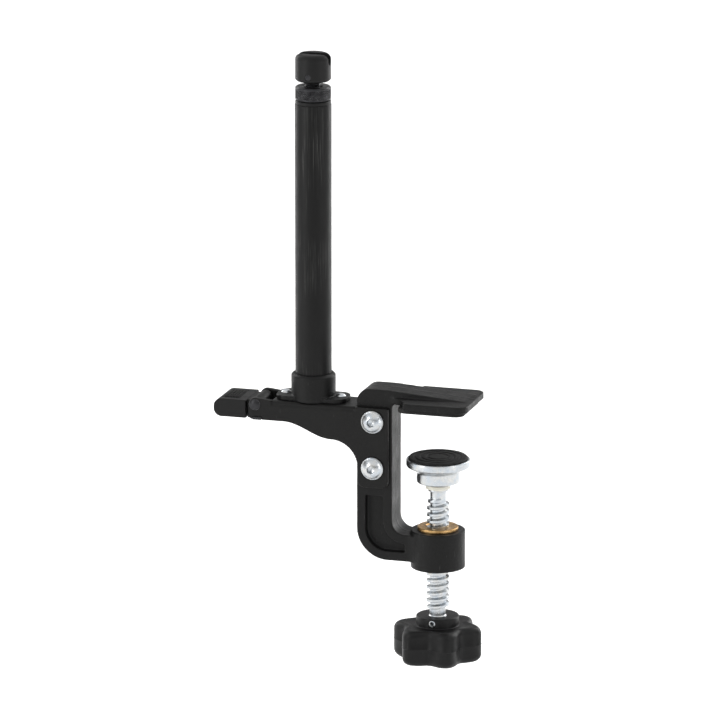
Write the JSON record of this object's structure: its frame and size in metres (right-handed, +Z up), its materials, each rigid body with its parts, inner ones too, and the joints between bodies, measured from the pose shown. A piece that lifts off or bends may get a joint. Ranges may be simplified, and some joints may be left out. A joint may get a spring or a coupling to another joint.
{
  "type": "table tennis net clamp",
  "caption": "Black screw clamp for a table edge, with an arm that carries an upright net post, a height-adjustable cord head and a cam lever that locks the net's cord.",
  "frame": {"origin": "centre of the upper jaw pad's face, which rests on the table top, so z = 0 is the table top", "axes": "+X from the table's edge in over the table, +Z up along the post, +Y along the table's edge; the XZ plane is the plane of the net"},
  "size_m": [0.12, 0.0358, 0.2685],
  "materials": {
    "frame_paint": "black powder coat over cast iron, satin",
    "arm_paint": "black powder coat over pressed steel, satin",
    "socket_paint": "black powder coat over die-cast zinc, satin",
    "post_paint": "black painted steel tube, semi-matt",
    "zinc_steel": "bright zinc plate",
    "black_steel": "black oxide, lightly oiled",
    "bronze": "turned bronze",
    "black_nylon": "moulded glass-filled nylon, fine texture",
    "knob_plastic": "moulded black plastic, spark-eroded texture",
    "rubber": "moulded black rubber, matt",
    "white_nylon": "natural nylon"
  },
  "bodies": {
    "frame": {"clamp_frame": "frame_paint", "jaw_pad": "rubber", "thread_insert": "bronze", "arm_channel": "arm_paint", "arm_bolts": "zinc_steel", "arm_washers": "zinc_steel", "arm_nuts": "zinc_steel", "post_socket": "socket_paint", "socket_rivets": "zinc_steel", "post_tube": "post_paint", "post_plug": "zinc_steel", "post_bolt": "zinc_steel", "post_washer": "zinc_steel", "post_top_bush": "black_nylon", "lock_anvil": "black_steel", "lock_pin": "black_steel"},
    "nut": {"height_nut": "black_steel"},
    "head": {"cord_head": "black_nylon", "head_stem": "black_steel", "head_pin": "black_steel"},
    "lever": {"lock_lever": "black_nylon", "lever_pad": "rubber"},
    "travel": {"foot_washer": "white_nylon"},
    "foot": {"pressure_foot": "zinc_steel", "foot_pad": "rubber"},
    "screw": {"clamp_screw": "zinc_steel", "clamp_knob": "knob_plastic", "knob_pin": "zinc_steel", "knob_cap": "knob_plastic"}
  },
  "joints": [
    {"name": "clamp_travel", "type": "slide", "parent": "frame", "child": "travel", "axis": [0, 0, 1], "range_m": [-0.016, 0.02]},
    {"name": "clamp_turn", "type": "hinge", "parent": "travel", "child": "screw", "pos_m": [0, 0, -0.083], "axis": [0, 0, 1], "range_deg": [-1920, 2400]},
    {"name": "foot_tilt", "type": "hinge", "parent": "travel", "child": "foot", "pos_m": [0, 0, -0.0302], "axis": [0, 1, 0], "range_deg": [-6, 6]},
    {"name": "height_turn", "type": "hinge", "parent": "frame", "child": "nut", "pos_m": [-0.057, 0, 0.137], "axis": [0, 0, 1], "range_deg": [-2304, 576]},
    {"name": "head_lift", "type": "slide", "parent": "frame", "child": "head", "axis": [0, 0, 1], "range_m": [-0.002, 0.008]},
    {"name": "lever_swing", "type": "hinge", "parent": "frame", "child": "lever", "pos_m": [-0.081, 0, -0.0022], "axis": [0, 1, 0], "range_deg": [0, 95]}
  ],
  "couplings": [
    {"joint": "clamp_turn", "follows": "clamp_travel", "rad_per_m": 2094.4},
    {"joint": "height_turn", "follows": "head_lift", "rad_per_m": -5026.5}
  ]
}
